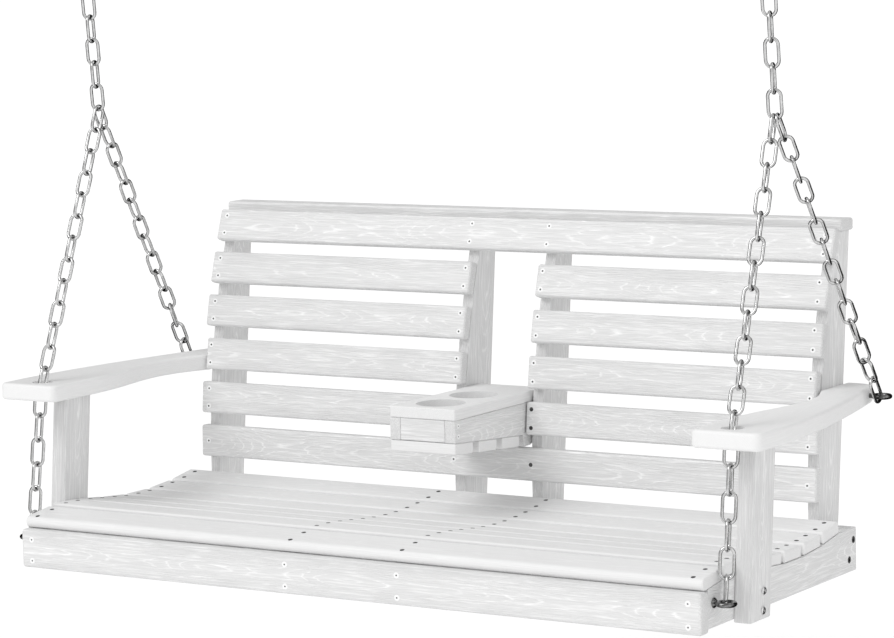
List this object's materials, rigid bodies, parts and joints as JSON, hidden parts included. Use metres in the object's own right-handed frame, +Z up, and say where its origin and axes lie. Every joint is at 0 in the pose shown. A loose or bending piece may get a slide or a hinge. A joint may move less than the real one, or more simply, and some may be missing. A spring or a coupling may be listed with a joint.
{
  "type": "porch swing",
  "caption": "White slatted porch swing bench with curved back, wide arms, a fold-down cup-holder console and Y-shaped hanging chains.",
  "frame": {"origin": "on the ceiling plane, midway between the two hanger plates and straight above the chains' junctions", "axes": "+X along the bench to the sitter's left, which is the viewer's right from the front; +Y to the rear; +Z up"},
  "size_m": [1.3706, 0.6366, 1.0127],
  "materials": {
    "board_plastic": "white moulded lumber, embossed with wood grain, satin",
    "console_plastic": "white moulded lumber, embossed with wood grain, satin",
    "bolt_steel": "stainless, lightly weathered",
    "plate_steel": "dark zinc, dull",
    "eye_bolt_steel": "zinc plated, dull grey",
    "chain_steel": "zinc plated, bright with grey patches",
    "hook_steel": "zinc plated",
    "hanger_steel": "zinc plated"
  },
  "bodies": {
    "ceiling": {"hanger_left": "hanger_steel", "hanger_right": "hanger_steel"},
    "upper_chain_left": {"snap_hook_left": "hook_steel", "chain_upper_left": "chain_steel"},
    "upper_chain_right": {"snap_hook_right": "hook_steel", "chain_upper_right": "chain_steel"},
    "bench": {"front_apron": "board_plastic", "seat_slat_1": "board_plastic", "seat_slat_2": "board_plastic", "seat_slat_3": "board_plastic", "seat_slat_4": "board_plastic", "seat_slat_5": "board_plastic", "seat_slat_6": "board_plastic", "seat_slat_7": "board_plastic", "side_rail_left": "board_plastic", "side_rail_right": "board_plastic", "seat_support_left": "board_plastic", "seat_support_right": "board_plastic", "upright_left_outer": "board_plastic", "upright_left_centre": "board_plastic", "upright_right_outer": "board_plastic", "upright_right_centre": "board_plastic", "back_slat_top": "board_plastic", "back_slat_bottom": "board_plastic", "back_cap": "board_plastic", "back_slat_left_2": "board_plastic", "back_slat_left_3": "board_plastic", "back_slat_left_4": "board_plastic", "back_slat_left_5": "board_plastic", "back_slat_right_2": "board_plastic", "back_slat_right_3": "board_plastic", "back_slat_right_4": "board_plastic", "back_slat_right_5": "board_plastic", "arm_left": "board_plastic", "arm_right": "board_plastic", "arm_post_left": "board_plastic", "arm_post_right": "board_plastic", "console_pivot_left": "bolt_steel", "console_pivot_right": "bolt_steel", "arm_plate_left": "plate_steel", "arm_plate_right": "plate_steel", "post_bolt_left_lower": "bolt_steel", "post_bolt_left_upper": "bolt_steel", "post_bolt_right_lower": "bolt_steel", "post_bolt_right_upper": "bolt_steel", "eye_bolt_front_left": "eye_bolt_steel", "eye_bolt_rear_left": "eye_bolt_steel", "eye_bolt_front_right": "eye_bolt_steel", "eye_bolt_rear_right": "eye_bolt_steel", "chain_front_left": "chain_steel", "chain_rear_left": "chain_steel", "chain_front_right": "chain_steel", "chain_rear_right": "chain_steel"},
    "console": {"console_top": "console_plastic", "console_front": "console_plastic", "console_side_left": "console_plastic", "console_side_right": "console_plastic", "console_slat_1": "console_plastic", "console_slat_2": "console_plastic", "console_slat_3": "console_plastic"}
  },
  "joints": [
    {"name": "swing_left", "type": "hinge", "parent": "ceiling", "child": "upper_chain_left", "pos_m": [-0.6163, 0, -0.0458], "axis": [1, 0, 0], "range_deg": [-30, 30]},
    {"name": "swing_right", "type": "hinge", "parent": "ceiling", "child": "upper_chain_right", "pos_m": [0.6163, 0, -0.0458], "axis": [1, 0, 0], "range_deg": [-30, 30]},
    {"name": "bench_rock", "type": "hinge", "parent": "upper_chain_left", "child": "bench", "pos_m": [-0.6163, 0, -0.27885], "axis": [1, 0, 0], "range_deg": [-15, 15]},
    {"name": "console_fold", "type": "hinge", "parent": "bench", "child": "console", "pos_m": [0, 0.19234, -0.80415], "axis": [-1, 0, 0], "range_deg": [0, 97]}
  ],
  "couplings": [
    {"joint": "swing_right", "follows": "swing_left", "ratio": 1}
  ]
}
